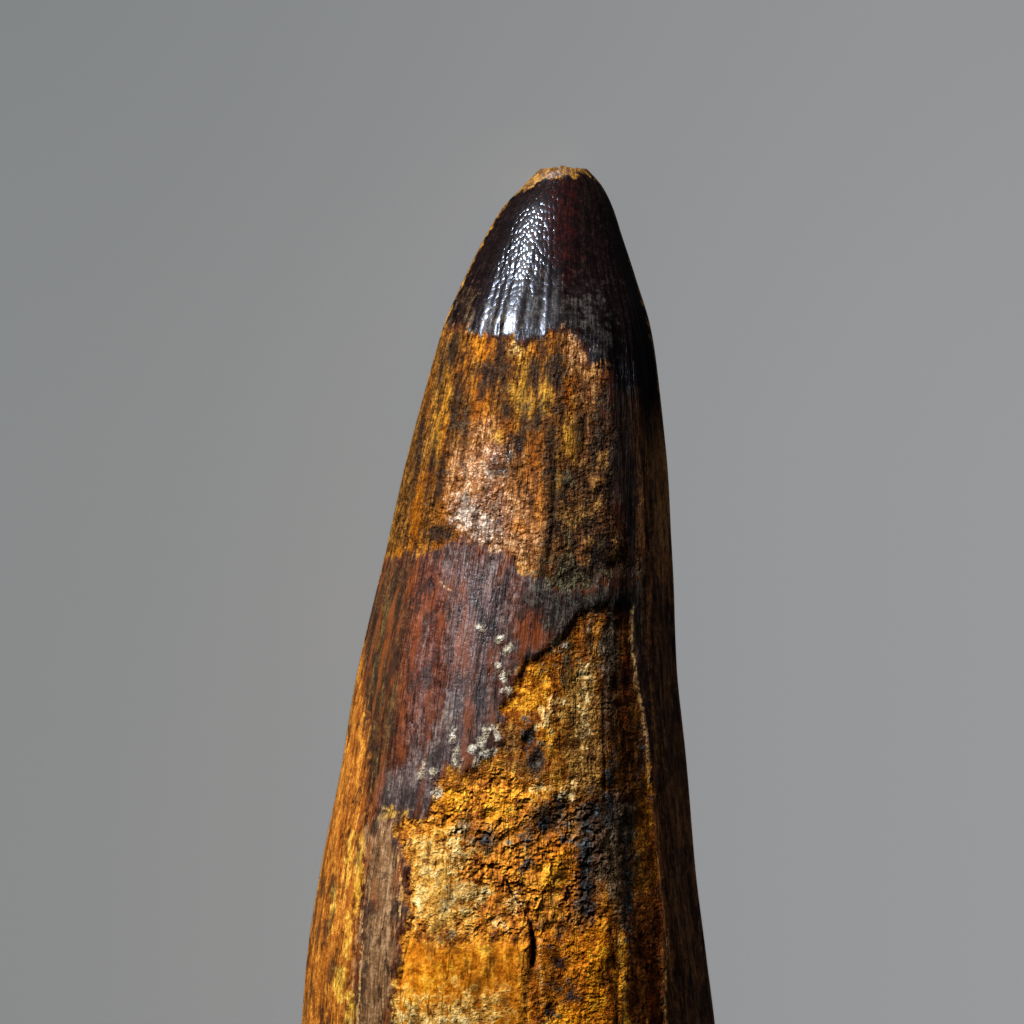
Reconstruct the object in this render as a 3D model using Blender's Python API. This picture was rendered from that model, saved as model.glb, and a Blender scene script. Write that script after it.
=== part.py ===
"""A fossil mosasaur tooth: the crown and a short stub of its root, in one solid, lying on its side.

The tooth lies along Y, with its worn tip at +Y. Its outer face looks up. It rests on the tip and on the base
of the inner face, which is slightly hollow between them. The origin is on the surface, under the middle.
"""

import math

import bmesh
import bpy
import numpy as np

MM = 0.001

# Driving dimensions in millimetres. A depth is the distance from the tip, down along the tooth.
LENGTH = 46.0
THICKNESS_TO_WIDTH = 0.81
LOWER_HALF_POWER = 0.8
ENAMEL_END = 42.2
ROOT_STEP = 0.35
CAVITY_DEPTH = 2.8
BREAK_SLOPE = 0.04

# The lower edge of the enamel rises and falls: height, count round the tooth, phase.
ENAMEL_END_WAVES = ((0.5, 2, 0.6), (0.25, 5, 0.0))

# Irregular hills on the rough places: height, length, seed.
WORN_HILLS = (0.05, 2.4, 3)
ROOT_HILLS = (0.12, 1.8, 11)
BREAK_HILLS = (0.35, 3.5, 5)
TIP_HILLS = (0.06, 0.9, 8)

# The outline seen from above: depth, left edge, right edge.
OUTLINE = (
    (0.0, 1.28, 3.20),
    (0.7, 0.60, 3.80),
    (1.6, -0.24, 4.24),
    (2.6, -0.84, 4.56),
    (4.5, -1.80, 5.16),
    (6.4, -2.64, 5.68),
    (8.4, -3.24, 5.96),
    (12.2, -4.24, 6.36),
    (16.0, -5.08, 6.56),
    (20.0, -6.02, 6.72),
    (24.0, -6.72, 7.09),
    (28.0, -7.50, 7.43),
    (31.4, -8.04, 7.86),
    (34.1, -8.28, 8.20),
    (40.0, -8.80, 8.75),
    (43.0, -8.90, 8.90),
    (46.0, -8.65, 8.70),
)

# The lowest line of the inner face: depth, height. What would lie under the surface is flattened on it.
UNDERSIDE = (
    (0.0, 0.60),
    (0.7, 0.20),
    (2.0, -0.12),
    (4.0, -0.14),
    (7.0, 0.10),
    (14.0, 0.55),
    (22.0, 0.80),
    (30.0, 0.50),
    (36.0, -0.10),
    (39.0, -0.24),
    (42.0, -0.24),
    (46.0, 0.00),
)

# Where the enamel is worn or broken away: the drop at the edge, then points of across and depth. On the upper
# face, across is the distance from the middle line as seen from above, and a point past the outline lies as far
# round the side. On the lower face, across is measured round the surface from the lowest line.
WORN_ABOVE = (
    (0.06, (
        (-2.6, 6.5), (-1.1, 6.8), (0.5, 7.0), (1.5, 6.9), (2.2, 6.4), (3.0, 7.1), (3.6, 8.0), (4.2, 8.4),
        (4.2, 10.5), (4.0, 12.1), (4.3, 13.7), (5.1, 15.2), (5.2, 16.2), (2.7, 17.0), (1.9, 17.0), (0.3, 16.0),
        (-1.9, 14.9), (-4.3, 15.6), (-5.1, 15.6), (-7.4, 14.6), (-7.0, 11.0), (-6.6, 8.4), (-4.6, 7.0),
    )),
    (0.15, (
        (2.8, 17.8), (1.9, 19.0), (0.6, 19.9), (-0.4, 21.8), (-0.3, 23.1), (-1.5, 24.1), (-2.9, 24.5),
        (-3.3, 25.8), (-4.4, 26.0), (-4.4, 28.5), (-4.6, 33.3), (-4.8, 36.9), (-5.1, 39.7), (0.5, 39.0),
        (2.6, 37.8), (5.7, 38.1), (6.4, 34.1), (6.2, 29.3), (5.9, 25.3), (5.3, 20.9), (5.0, 17.5),
    )),
)
WORN_BELOW = (
    (0.12, ((-3.4, 11.0), (-1.2, 9.2), (1.6, 9.8), (3.0, 13.0), (2.2, 16.8), (-0.6, 18.2), (-3.6, 15.0))),
    (0.12, ((-8.6, 26.0), (-5.4, 24.4), (-3.6, 27.0), (-4.4, 31.5), (-3.8, 36.0), (-6.8, 38.0), (-9.0, 33.0))),
)
UPPER_MIDDLE = math.pi / 2
LOWER_MIDDLE = -math.pi / 2

# Open cracks in the upper face, as lines of across and depth, with their width and depth.
CRACKS = (
    ((1.0, 30.3), (1.0, 31.7), (0.7, 33.0), (0.6, 35.0), (0.5, 37.7)),
    ((4.2, 30.3), (4.5, 32.3), (4.4, 33.3), (4.5, 37.3)),
)
CRACK_WIDTH = 0.8
CRACK_DEPTH = 0.4

# Small forms on the upper face: across, depth, radius, and height, which is negative for a pit.
LUMPS = (
    (3.2, 15.2, 0.7, 0.18),
    (4.6, 15.0, 0.7, 0.18),
    (4.3, 16.0, 0.6, -0.20),
    (3.4, 12.7, 0.7, 0.12),
    (1.7, 26.1, 1.2, -0.16),
    (-2.4, 27.8, 1.0, 0.12),
    (-1.6, 31.3, 1.6, 0.08),
    (1.9, 28.0, 0.8, 0.12),
)
FACETS = 13
FACET_DEPTH = 0.05
KEEL_HEIGHT = 0.16
KEEL_WIDTH = 0.9

# The grid of points on the surface.
TURNS = 66
TIP_ROWS = 3
BREAK_ROWS = 8
ROWS = 60
ROW_CROWDING = 1.25


def smooth_curve(knots, column):
    """A curve through one column of the knots, with no overshoot between them."""
    at = np.array([knot[0] for knot in knots])
    value = np.array([knot[column] for knot in knots])
    step = np.diff(at)
    slope = np.diff(value) / step
    before = slope[:-1]
    after = slope[1:]
    rising = before * after > 0
    harmonic = 2 * before * after / np.where(rising, before + after, 1.0)
    tangent = np.concatenate([slope[:1], np.where(rising, harmonic, 0.0), slope[-1:]])

    def curve(where):
        i = np.clip(np.searchsorted(at, where, side="right") - 1, 0, len(step) - 1)
        t = np.clip((where - at[i]) / step[i], 0.0, 1.0)
        rise = t * t * (3 - 2 * t)
        bend = t * (1 - t) * step[i]
        return value[i] + (value[i + 1] - value[i]) * rise + bend * ((1 - t) * tangent[i] - t * tangent[i + 1])

    return curve


left_edge = smooth_curve(OUTLINE, 1)
right_edge = smooth_curve(OUTLINE, 2)
underside = smooth_curve(UNDERSIDE, 1)


def half_width(depth):
    return (right_edge(depth) - left_edge(depth)) / 2


def middle_line(depth):
    return (right_edge(depth) + left_edge(depth)) / 2


def half_thickness(depth):
    return half_width(depth) * THICKNESS_TO_WIDTH


def blend(low, high, value):
    """0 below low, 1 above high, and a smooth rise between them."""
    t = np.clip((value - low) / (high - low), 0.0, 1.0)
    return t * t * (3 - 2 * t)


def round_the_side(across, depth):
    """The distance round the surface from the upper middle line to a point seen from above."""
    side = (across - middle_line(depth)) / half_width(depth)
    beyond = np.abs(side) - np.clip(np.abs(side), 0.0, 1.0)
    return half_width(depth) * (np.arcsin(np.clip(side, -1.0, 1.0)) + np.sign(side) * beyond)


def unrolled(turn, depth, middle):
    """The distance round the surface from a middle line to each point."""
    angle = (middle - turn + math.pi) % (2 * math.pi) - math.pi
    return half_width(depth) * angle


def distance_to_line(across, depth, points):
    """The distance from each place on the unrolled surface to a line of points."""
    nearest = np.full(np.shape(across), np.inf)
    for (ax, ay), (bx, by) in zip(points[:-1], points[1:]):
        along = (across - ax) * (bx - ax) + (depth - ay) * (by - ay)
        t = np.clip(along / ((bx - ax) ** 2 + (by - ay) ** 2), 0.0, 1.0)
        nearest = np.minimum(nearest, np.hypot(across - ax - t * (bx - ax), depth - ay - t * (by - ay)))
    return nearest


def inside(across, depth, points):
    """The distance to a patch's edge: positive inside the patch, negative outside."""
    within = np.zeros(np.shape(across), bool)
    ring = points + points[:1]
    for (ax, ay), (bx, by) in zip(ring[:-1], ring[1:]):
        if ay != by:
            spans = (depth < ay) != (depth < by)
            within ^= spans & (across < ax + (depth - ay) * (bx - ax) / (by - ay))
    distance = distance_to_line(across, depth, ring)
    return np.where(within, distance, -distance)


def on_upper_face(points):
    """Points seen from above, moved to the unrolled surface."""
    return tuple((float(round_the_side(across, depth)), depth) for across, depth in points)


def hills(places, kind):
    """Smooth irregular hills and hollows of one kind, up to about its height."""
    height, length, seed = kind
    rng = np.random.default_rng(seed)
    total = np.zeros(len(places))
    count = 14
    for _ in range(count):
        way = rng.normal(size=3)
        way *= 2 * math.pi / length / np.linalg.norm(way) * rng.uniform(0.7, 1.4)
        total += np.sin(places @ way + rng.uniform(0, 2 * math.pi))
    return height * total / math.sqrt(count)


def relief(turn, depth, places):
    """How far the surface stands out from its plain form."""
    upper = unrolled(turn, depth, UPPER_MIDDLE)
    lower = unrolled(turn, depth, LOWER_MIDDLE)
    patches = [(drop, inside(upper, depth, on_upper_face(ring))) for drop, ring in WORN_ABOVE]
    patches += [(drop, inside(lower, depth, ring)) for drop, ring in WORN_BELOW]

    # Along the two keels the wear is shallow, so the outline stays smooth there.
    away_from_keels = 1 - 0.8 * np.abs(np.cos(turn)) ** 6
    out = np.zeros(len(turn))
    for drop, patch in patches:
        bare = blend(-0.2, 0.3, patch) * away_from_keels
        out += bare * (hills(places, WORN_HILLS) - drop)
    out += FACET_DEPTH * np.cos(FACETS * turn) * blend(2.0, 8.0, depth)
    for keel in (0.0, math.pi):
        out += KEEL_HEIGHT * np.exp(-(unrolled(turn, depth, keel) / KEEL_WIDTH) ** 2) * blend(0.5, 5.0, depth)
    for line in CRACKS:
        gap = distance_to_line(upper, depth, on_upper_face(line))
        out -= CRACK_DEPTH * (1 - blend(0.0, CRACK_WIDTH, gap))
    for across, down, radius, height in LUMPS:
        away = np.hypot(upper - round_the_side(across, down), depth - down)
        out += height * (1 - blend(0.3 * radius, 1.2 * radius, away))
    edge = ENAMEL_END + sum(height * np.sin(count * turn + phase) for height, count, phase in ENAMEL_END_WAVES)
    root = blend(0.0, 0.5, depth - edge)
    return out + root * (hills(places, ROOT_HILLS) - ROOT_STEP)


def section(turn, depth, out):
    """Across and height of the surface. The lower half of a section is a little flatter than an ellipse.

    The keels reach the outline, so the section between them is narrower by their height.
    """
    rise = np.sin(turn)
    rise = np.where(rise < 0, -np.abs(rise) ** LOWER_HALF_POWER, rise)
    half_across = half_width(depth) - KEEL_HEIGHT * blend(0.5, 5.0, depth)
    across = middle_line(depth) + (half_across + out) * np.cos(turn)
    height = underside(depth) + half_thickness(depth) + (half_thickness(depth) + out) * rise
    return across, height


def flank_depth(share):
    """Rows lie closer together towards the tip."""
    return LENGTH * share ** ROW_CROWDING


def tooth_points(turn, along):
    """The place of each point, for its turn round the tooth and its share of the way from tip to break."""
    tip_end = TIP_ROWS / ROWS
    break_start = 1 - BREAK_ROWS / ROWS
    depth = flank_depth(np.clip((along - tip_end) / (break_start - tip_end), 0.0, 1.0))
    across, height = section(turn, depth, 0.0)
    plain = np.stack([across, depth, height], axis=1)
    across, height = section(turn, depth, relief(turn, depth, plain))

    # The worn tip and the break are discs that close the two ends.
    reach = np.minimum(np.clip(along / tip_end, 0.0, 1.0), np.clip((1 - along) / (1 - break_start), 0.0, 1.0))
    centre = underside(depth) + half_thickness(depth)
    across = middle_line(depth) + (across - middle_line(depth)) * reach
    height = centre + (height - centre) * reach
    disc = np.stack([across, depth, height], axis=1)

    # The break is rough and slopes a little, and the pulp cavity is a hollow in it.
    on_break = blend(0.98, 1.0, depth / LENGTH)
    hollow = CAVITY_DEPTH * (1 - blend(0.12, 0.45, reach)) * (along > break_start)
    depth = depth + on_break * (hills(disc, BREAK_HILLS) + BREAK_SLOPE * across - hollow)
    worn_tip = hills(disc, TIP_HILLS) * (along < tip_end)
    height = np.maximum(height, 0.0)
    return np.stack([across, worn_tip - depth, height], axis=1)


def tooth_material():
    """Fossil enamel, stained red-brown, with a low gloss."""
    material = bpy.data.materials.new("fossil_enamel")
    material.use_nodes = True
    shader = material.node_tree.nodes["Principled BSDF"]
    shader.inputs["Base Color"].default_value = (0.12, 0.045, 0.02, 1.0)
    shader.inputs["Roughness"].default_value = 0.42
    shader.inputs["Metallic"].default_value = 0.0
    return material


def make_tooth():
    form = bmesh.new()
    bmesh.ops.create_uvsphere(form, u_segments=TURNS, v_segments=ROWS, radius=1.0)
    ball = np.array([vertex.co for vertex in form.verts])
    turn = np.arctan2(ball[:, 1], ball[:, 0])
    along = np.arccos(np.clip(ball[:, 2], -1.0, 1.0)) / math.pi
    places = tooth_points(turn, along)
    middle = (places.min(axis=0) + places.max(axis=0)) / 2
    places -= (middle[0], middle[1], 0.0)
    for vertex, place in zip(form.verts, places):
        vertex.co = place * MM
    bmesh.ops.recalc_face_normals(form, faces=form.faces)
    mesh = bpy.data.meshes.new("tooth")
    form.to_mesh(mesh)
    form.free()
    mesh.materials.append(tooth_material())
    mesh.shade_smooth()
    mesh.set_sharp_from_angle(angle=math.radians(35))
    tooth = bpy.data.objects.new("tooth", mesh)
    bpy.context.scene.collection.objects.link(tooth)


for leftover in list(bpy.data.objects):
    bpy.data.objects.remove(leftover)
make_tooth()
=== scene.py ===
"""The looks of a fossil mosasaur tooth, lying on a pale surface and seen from straight above."""

import math

import bmesh
import bpy
import numpy as np
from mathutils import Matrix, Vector


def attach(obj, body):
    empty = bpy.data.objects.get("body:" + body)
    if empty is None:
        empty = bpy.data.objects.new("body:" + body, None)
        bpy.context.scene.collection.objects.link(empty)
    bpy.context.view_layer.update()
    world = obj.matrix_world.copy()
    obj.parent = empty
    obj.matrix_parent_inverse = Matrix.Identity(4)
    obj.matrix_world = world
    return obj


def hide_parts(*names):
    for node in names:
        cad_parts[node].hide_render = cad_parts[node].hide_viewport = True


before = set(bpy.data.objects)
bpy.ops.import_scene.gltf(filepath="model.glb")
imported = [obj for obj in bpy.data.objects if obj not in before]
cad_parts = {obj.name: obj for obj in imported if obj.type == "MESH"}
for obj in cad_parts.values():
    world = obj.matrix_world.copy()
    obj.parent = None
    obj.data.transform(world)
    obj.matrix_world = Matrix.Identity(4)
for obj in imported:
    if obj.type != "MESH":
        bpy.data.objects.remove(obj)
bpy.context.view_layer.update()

MM = 0.001

# The form of the tooth.
# The crown is fossil enamel over dentine, with a short stub of root, and it grew as one piece. The skin is a
# ball, moved to the outline, the thickness and the relief below, all in millimetres. A depth is measured from
# the worn tip down along the tooth, and across is measured to the right, as seen from above.
LENGTH = 46.0
THICKNESS_TO_WIDTH = 0.81
LOWER_HALF_POWER = 0.8
ENAMEL_STEP_BELOW = 0.12
ENAMEL_END = 42.2
ENAMEL_END_WAVES = ((0.5, 2, 0.6), (0.25, 5, 0.0))
ROOT_STEP = 0.35
CAVITY_DEPTH = 2.8
BREAK_SLOPE = 0.04
FACETS = 13
FACET_DEPTH = 0.05
KEEL_HEIGHT = 0.16
KEEL_WIDTH = 0.9

OUTLINE = (
    (0.0, 1.28, 3.20),
    (0.7, 0.60, 3.80),
    (1.6, -0.24, 4.24),
    (2.6, -0.84, 4.56),
    (4.5, -1.80, 5.16),
    (6.4, -2.64, 5.68),
    (8.4, -3.24, 5.96),
    (12.2, -4.24, 6.36),
    (16.0, -5.08, 6.56),
    (20.0, -6.02, 6.72),
    (24.0, -6.72, 7.09),
    (28.0, -7.50, 7.43),
    (31.4, -8.04, 7.86),
    (34.1, -8.28, 8.20),
    (40.0, -8.80, 8.75),
    (43.0, -8.90, 8.90),
    (46.0, -8.65, 8.70),
)
UNDERSIDE = (
    (0.0, 0.60),
    (0.7, 0.20),
    (2.0, -0.12),
    (4.0, -0.14),
    (7.0, 0.10),
    (14.0, 0.55),
    (22.0, 0.80),
    (30.0, 0.50),
    (36.0, -0.10),
    (39.0, -0.24),
    (42.0, -0.24),
    (46.0, 0.00),
)

# Where the enamel is worn or broken away: the drop at the edge, then the ring of points. A point past the
# outline lies as far round the side. On the lower face, across runs round the surface from its middle line.
WORN_ABOVE = (
    (0.05, (
        (-2.64, 6.52), (-2.12, 6.36), (-1.84, 6.6), (-1.52, 6.76), (-1.12, 6.84), (-0.52, 6.8), (-0.32, 6.96),
        (0.48, 7.04), (1.48, 6.92), (1.76, 6.52), (2.16, 6.44), (2.68, 6.72), (3.0, 7.12), (3.28, 7.48),
        (3.52, 7.96), (3.88, 8.04), (4.16, 8.32), (4.24, 9.12), (3.8, 9.6), (4.3, 10.3), (4.5, 11.1),
        (4.0, 11.9), (4.5, 12.7), (4.28, 13.72), (5.04, 14.92), (5.2, 16.2), (3.68, 16.6), (2.68, 17.0),
        (1.92, 17.0), (1.28, 16.52), (0.32, 16.0), (-0.32, 15.52), (-1.2, 15.16), (-1.92, 14.92),
        (-2.72, 15.16), (-3.32, 15.4), (-4.32, 15.56), (-5.08, 15.6), (-5.3, 14.8), (-5.8, 14.1),
        (-6.2, 14.4), (-6.6, 13.0), (-7.4, 12.5), (-7.0, 11.2), (-7.3, 10.0), (-6.4, 9.3), (-5.7, 8.9),
        (-5.3, 7.6), (-4.6, 6.5), (-3.9, 7.3), (-3.2, 6.6),
    )),
    (0.12, (
        (2.8, 17.84), (2.68, 18.2), (2.32, 18.6), (1.92, 19.0), (1.48, 19.32), (0.88, 19.6), (0.6, 19.88),
        (0.44, 20.32), (0.2, 20.92), (-0.08, 21.32), (-0.4, 21.8), (-0.24, 22.44), (-0.32, 23.12),
        (-0.96, 23.64), (-1.52, 24.12), (-2.32, 24.04), (-2.88, 24.52), (-3.04, 25.32), (-3.32, 25.8),
        (-4.4, 26.04), (-4.6, 26.6), (-4.25, 27.3), (-4.0, 28.2), (-4.3, 29.0), (-4.05, 29.8), (-4.5, 30.8),
        (-4.35, 31.7), (-4.85, 33.2), (-4.7, 35.0), (-4.95, 36.92), (-5.12, 39.72), (0.48, 39.0), (2.6, 37.8),
        (5.68, 38.12), (6.4, 34.12), (6.24, 29.32), (5.92, 25.32), (5.56, 22.12), (5.32, 20.92),
        (5.16, 18.92), (5.04, 17.52), (3.68, 17.56),
    )),
)
WORN_BELOW = (
    ((-3.4, 11.0), (-1.2, 9.2), (1.6, 9.8), (3.0, 13.0), (2.2, 16.8), (-0.6, 18.2), (-3.6, 15.0)),
    ((-8.6, 26.0), (-5.4, 24.4), (-3.6, 27.0), (-4.4, 31.5), (-3.8, 36.0), (-6.8, 38.0), (-9.0, 33.0)),
)
UPPER_MIDDLE = math.pi / 2
LOWER_MIDDLE = -math.pi / 2

# Cracks are a width, a depth and a line. Shallow cracks and the painted edge highlights are lines alone.
CRACKS = (
    (0.15, 0.6, ((1.0, 30.4), (1.08, 30.8), (1.08, 31.4), (1.0, 31.76))),
    (0.12, 0.25, ((-0.08, 28.36), (0.12, 28.9), (0.44, 29.32), (0.8, 29.72), (1.0, 30.28))),
)
SHALLOW_CRACKS = (
    ((1.0, 31.76), (0.8, 32.32), (0.68, 33.0), (0.64, 34.92), (0.52, 37.72)),
    ((4.2, 30.32), (4.32, 31.32), (4.48, 32.32), (4.44, 33.32), (4.48, 37.32)),
    ((-3.96, 27.24), (-4.12, 28.12), (-4.16, 28.92), (-4.0, 29.92), (-4.12, 30.72), (-4.4, 32.32)),
    ((-1.52, 6.4), (-1.84, 7.12), (-2.04, 8.2), (-2.32, 9.32), (-2.44, 10.32), (-2.68, 11.32),
     (-2.88, 12.52)),
    ((-0.44, 6.32), (-0.44, 7.32), (-0.52, 8.52)),
    ((1.92, 11.92), (1.84, 14.12), (1.68, 15.72)),
    ((3.92, 20.92), (3.96, 22.92), (3.96, 25.32)),
    ((3.2, 9.92), (3.12, 11.52)),
    ((-5.68, 21.32), (-5.64, 22.92), (-5.68, 24.92), (-5.4, 25.68), (-4.64, 25.8)),
    ((2.08, 25.32), (2.48, 25.56), (2.68, 26.04)),
)
SHALLOW_CRACK_WIDTH = 0.16
SHALLOW_CRACK_DEPTH = 0.06
# Lines where a painted highlight lies along a steep wall that faces the light.
PAINTED_EDGE_HIGHLIGHTS = (
    ((5.16, 17.52), (5.12, 18.92), (5.24, 19.92), (5.36, 20.92), (5.52, 21.72), (5.72, 23.12), (5.8, 24.72)),
    ((-4.4, 26.04), (-3.72, 26.08), (-3.12, 25.96)),
    ((4.52, 30.6), (4.6, 31.52), (4.72, 32.32), (4.72, 33.32), (4.76, 37.32)),
    ((1.36, 29.04), (1.32, 29.92), (1.32, 31.32), (1.32, 33.32)),
    ((-5.92, 29.52), (-5.88, 30.92), (-6.0, 33.32), (-6.32, 36.92)),
    ((-4.52, 27.12), (-4.36, 28.52), (-4.4, 29.92)),
    ((0.48, 24.4), (1.08, 24.44), (1.6, 24.72), (2.16, 25.12)),
    ((-2.8, 16.64), (-2.4, 16.92)),
    ((6.44, 30.72), (6.4, 33.32), (6.56, 35.72)),
)

# Lumps are across, depth, radius and height, which is negative for a pit.
LUMPS = (
    (3.16, 15.16, 0.4, 0.09),
    (4.6, 15.04, 0.4, 0.07),
    (4.3, 15.96, 0.4, -0.08),
    (3.6, 12.7, 0.4, 0.09),
    (2.3, 12.6, 0.3, 0.08),
    (1.28, 20.9, 1.7, -0.07),
    (1.68, 26.1, 0.9, -0.16),
    (0.4, 28.2, 0.5, 0.08),
    (-2.36, 27.6, 0.5, 0.12),
    (-1.8, 29.0, 0.7, 0.10),
    (-1.6, 31.3, 1.8, 0.08),
    (1.9, 28.0, 0.6, 0.12),
    (1.2, 29.8, 0.5, 0.12),
    (2.2, 30.5, 0.25, -0.10),
    (2.1, 31.6, 0.3, -0.10),
    (1.7, 33.6, 0.35, -0.10),
    (0.9, 22.9, 0.5, -0.16),
    (1.2, 23.6, 0.5, -0.14),
)

# Irregular hills: height, length and seed of each kind.
WAVES_OF_HILLS = 14
WORN_HILLS = ((0.02, 2.2, 3), (0.02, 1.0, 21), (0.02, 0.5, 22))
SMOOTH_WEAR = 0.45
EDGE_HILLS = ((0.10, 0.9, 23), (0.06, 0.45, 24))
ENAMEL_RIPPLES = (0.012, 0.6, 25)
ROOT_HILLS = ((0.12, 1.8, 11), (0.06, 0.7, 26))
BREAK_HILLS = ((0.35, 3.5, 5), (0.08, 0.9, 27))
TIP_HILLS = ((0.06, 0.9, 8), (0.03, 0.4, 28))

# The grid of points. The upper face takes the larger share of the turn, and the rows are closer near the tip.
TURNS = 360
ROWS = 276
TIP_ROWS = 8
BREAK_ROWS = 28
ROW_SPREAD = 0.38
UPPER_SHARE = 0.65
STREAK_RADIUS = 6.5


def smooth_curve(knots, column):
    """A curve through one column of the knots, with no overshoot between them."""
    at = np.array([knot[0] for knot in knots])
    value = np.array([knot[column] for knot in knots])
    step = np.diff(at)
    slope = np.diff(value) / step
    before = slope[:-1]
    after = slope[1:]
    rising = before * after > 0
    harmonic = 2 * before * after / np.where(rising, before + after, 1.0)
    tangent = np.concatenate([slope[:1], np.where(rising, harmonic, 0.0), slope[-1:]])

    def curve(where):
        i = np.clip(np.searchsorted(at, where, side="right") - 1, 0, len(step) - 1)
        t = np.clip((where - at[i]) / step[i], 0.0, 1.0)
        rise = t * t * (3 - 2 * t)
        bend = t * (1 - t) * step[i] * ((1 - t) * tangent[i] - t * tangent[i + 1])
        return value[i] + (value[i + 1] - value[i]) * rise + bend

    return curve


left_edge = smooth_curve(OUTLINE, 1)
right_edge = smooth_curve(OUTLINE, 2)
underside = smooth_curve(UNDERSIDE, 1)


def half_width(depth):
    return (right_edge(depth) - left_edge(depth)) / 2


def middle_line(depth):
    return (right_edge(depth) + left_edge(depth)) / 2


def half_thickness(depth):
    return half_width(depth) * THICKNESS_TO_WIDTH


def blend(low, high, value):
    """0 below low, 1 above high, and a smooth rise between them."""
    t = np.clip((value - low) / (high - low), 0.0, 1.0)
    return t * t * (3 - 2 * t)


def round_the_side(across, depth):
    """The distance round the surface from the upper middle line to a point seen from above."""
    side = (across - middle_line(depth)) / half_width(depth)
    beyond = np.abs(side) - np.clip(np.abs(side), 0.0, 1.0)
    return half_width(depth) * (np.arcsin(np.clip(side, -1.0, 1.0)) + np.sign(side) * beyond)


def unrolled(turn, depth, middle):
    """The distance round the surface from a middle line to each point."""
    angle = (middle - turn + math.pi) % (2 * math.pi) - math.pi
    return half_width(depth) * angle


def distance_to_line(across, depth, points):
    """The distance from each place on the unrolled surface to a line of points."""
    nearest = np.full(np.shape(across), np.inf)
    for (ax, ay), (bx, by) in zip(points[:-1], points[1:]):
        along = (across - ax) * (bx - ax) + (depth - ay) * (by - ay)
        t = np.clip(along / ((bx - ax) ** 2 + (by - ay) ** 2), 0.0, 1.0)
        nearest = np.minimum(nearest, np.hypot(across - ax - t * (bx - ax), depth - ay - t * (by - ay)))
    return nearest


def inside(across, depth, points):
    """The distance to a patch's edge: positive inside the patch, negative outside."""
    within = np.zeros(np.shape(across), bool)
    ring = points + points[:1]
    for (ax, ay), (bx, by) in zip(ring[:-1], ring[1:]):
        if ay != by:
            spans = (depth < ay) != (depth < by)
            within ^= spans & (across < ax + (depth - ay) * (bx - ax) / (by - ay))
    distance = distance_to_line(across, depth, ring)
    return np.where(within, distance, -distance)


def on_upper_face(points):
    """Points seen from above, moved to the unrolled surface."""
    return tuple((float(round_the_side(across, depth)), depth) for across, depth in points)


def hills(places, *kinds):
    """Smooth irregular hills and hollows, up to about the height of each kind."""
    total = np.zeros(len(places))
    for height, length, seed in kinds:
        rng = np.random.default_rng(seed)
        for _ in range(WAVES_OF_HILLS):
            way = rng.normal(size=3)
            way *= 2 * math.pi / length / np.linalg.norm(way) * rng.uniform(0.7, 1.4)
            wave = np.sin(places @ way + rng.uniform(0, 2 * math.pi))
            total += height / math.sqrt(WAVES_OF_HILLS) * wave
    return total


def section(turn, depth, out):
    """Across and height of the surface. The lower half of a section is a little flatter than an ellipse."""
    rise = np.sin(turn)
    rise = np.where(rise < 0, -np.abs(rise) ** LOWER_HALF_POWER, rise)
    half_across = half_width(depth) - KEEL_HEIGHT * blend(0.5, 5.0, depth)
    across = middle_line(depth) + (half_across + out) * np.cos(turn)
    height = underside(depth) + half_thickness(depth) + (half_thickness(depth) + out) * rise
    return across, height


form = bmesh.new()
bmesh.ops.create_uvsphere(form, u_segments=TURNS, v_segments=ROWS, radius=1.0)
bmesh.ops.reverse_faces(form, faces=form.faces)
skin = bpy.data.meshes.new("fossil_tooth")
form.to_mesh(skin)
form.free()
ball = np.empty(len(skin.vertices) * 3)
skin.vertices.foreach_get("co", ball)
ball = ball.reshape(-1, 3)

# The upper half of the tooth takes more of the ball's turn, so that its cells are finer.
share = (np.arctan2(ball[:, 1], ball[:, 0]) / (2 * math.pi)) % 1.0
turn = np.where(
    share < UPPER_SHARE,
    share / UPPER_SHARE * math.pi,
    math.pi + (share - UPPER_SHARE) / (1 - UPPER_SHARE) * math.pi,
)
along = np.arccos(np.clip(ball[:, 2], -1.0, 1.0)) / math.pi
tip_end = TIP_ROWS / ROWS
break_start = 1 - BREAK_ROWS / ROWS
share = np.clip((along - tip_end) / (break_start - tip_end), 0.0, 1.0)
depth = LENGTH * ((1 - ROW_SPREAD) * share + ROW_SPREAD * share ** 4)
reach = np.minimum(np.clip(along / tip_end, 0.0, 1.0), np.clip((1 - along) / (1 - break_start), 0.0, 1.0))

across, height = section(turn, depth, 0.0)
plain = np.stack([across, depth, height], axis=1)
streaks = np.stack([STREAK_RADIUS * np.cos(turn), depth, STREAK_RADIUS * np.sin(turn)], axis=1)
upper = unrolled(turn, depth, UPPER_MIDDLE)
lower = unrolled(turn, depth, LOWER_MIDDLE)

# Wear is shallow along the two keels, so the outline stays smooth there.
ragged = hills(plain, *EDGE_HILLS)
near_keel = 0.8 * np.abs(np.cos(turn)) ** 6
patches = [(drop, inside(upper, depth, on_upper_face(ring)) + ragged) for drop, ring in WORN_ABOVE]
patches += [(ENAMEL_STEP_BELOW, inside(lower, depth, ring) + ragged) for ring in WORN_BELOW]
worn = np.max([patch for _, patch in patches], axis=0)
rough = np.max([patch for drop, patch in patches if drop > WORN_ABOVE[0][0]], axis=0)
out = np.zeros(len(turn))
for drop, patch in patches:
    out -= drop * blend(-0.05, 0.1, patch) * (1 - near_keel)
roughness_of_wear = SMOOTH_WEAR + (1 - SMOOTH_WEAR) * blend(-0.2, 0.4, rough)
out += blend(-0.05, 0.3, worn) * (1 - near_keel) * roughness_of_wear * hills(plain, *WORN_HILLS)
out += blend(0.1, -0.1, worn) * hills(streaks * (1.0, 0.12, 1.0), ENAMEL_RIPPLES) * blend(1.0, 6.0, depth)
out += FACET_DEPTH * np.cos(FACETS * turn) * blend(2.0, 8.0, depth)
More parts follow.
